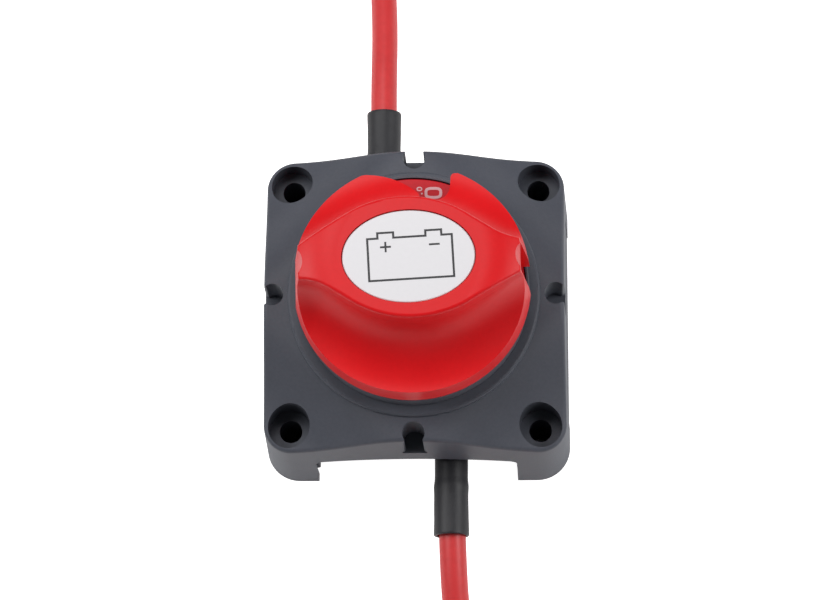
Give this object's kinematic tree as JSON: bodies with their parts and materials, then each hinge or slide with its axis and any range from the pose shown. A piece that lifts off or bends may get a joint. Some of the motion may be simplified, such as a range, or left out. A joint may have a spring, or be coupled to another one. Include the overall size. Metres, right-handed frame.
{
  "type": "battery isolator switch",
  "caption": "Square surface-mounted battery isolator switch with a rotary grip knob, stud terminals under the body and two short lugged battery cables.",
  "frame": {"origin": "centre of the mounting face, on the plane of the four feet", "axes": "+Z along the knob's axis, out of the mounting face; +Y towards the battery cable, -Y towards the load cable; rest is OFF"},
  "size_m": [0.0714, 0.3173, 0.0668],
  "materials": {
    "housing_plastic": "fine moulded texture",
    "cover_plastic": "fine moulded texture",
    "disc_plastic": "smooth satin",
    "plate_plastic": "glass-filled, satin",
    "knob_plastic": "satin moulded",
    "label_plastic": "printed, satin gloss",
    "rotor_plastic": "natural acetal",
    "seal_rubber": "smooth",
    "ball_steel": "polished",
    "spring_steel": "drawn wire",
    "screw_steel": "stainless",
    "washer_steel": "stainless",
    "nut_steel": "stainless",
    "stud_brass": "tin-plated",
    "contact_copper": "bare copper",
    "cable_jacket": "satin PVC",
    "lug_tin": "tin-plated copper",
    "heat_shrink": "shrunk sleeving",
    "tie_nylon": "nylon"
  },
  "bodies": {
    "housing": {"housing": "housing_plastic", "side_cover_left": "cover_plastic", "side_cover_right": "cover_plastic", "legend_disc": "disc_plastic", "terminal_plate": "plate_plastic", "plate_screws": "screw_steel", "terminal_studs": "stud_brass", "flat_washers": "washer_steel", "lock_washers": "washer_steel", "stud_nuts": "nut_steel", "battery_cable": "cable_jacket", "battery_coil": "cable_jacket", "battery_lug": "lug_tin", "battery_sleeve": "heat_shrink", "battery_end_lug": "lug_tin", "battery_end_sleeve": "heat_shrink", "battery_tie": "tie_nylon", "load_cable": "cable_jacket", "load_coil": "cable_jacket", "load_lug": "lug_tin", "load_sleeve": "heat_shrink", "load_end_lug": "lug_tin", "load_end_sleeve": "heat_shrink", "load_tie": "tie_nylon"},
    "knob": {"knob": "knob_plastic", "knob_label": "label_plastic", "knob_screw": "screw_steel", "rotor": "rotor_plastic", "shaft_seal": "seal_rubber", "detent_balls": "ball_steel", "detent_springs": "spring_steel", "contact_spring": "spring_steel"},
    "contact_bar": {"contact_bar": "contact_copper"}
  },
  "joints": [
    {"name": "knob_turn", "type": "hinge", "parent": "housing", "child": "knob", "pos_m": [0, 0, 0.044], "axis": [0, 0, 1], "range_deg": [-90, 0]},
    {"name": "contact_drop", "type": "slide", "parent": "knob", "child": "contact_bar", "axis": [0, 0, 1], "range_m": [-0.0014, 0], "deforming": ["contact_spring"]}
  ],
  "couplings": [
    {"joint": "contact_drop", "follows": "knob_turn", "m_per_rad": 0.00089127}
  ]
}
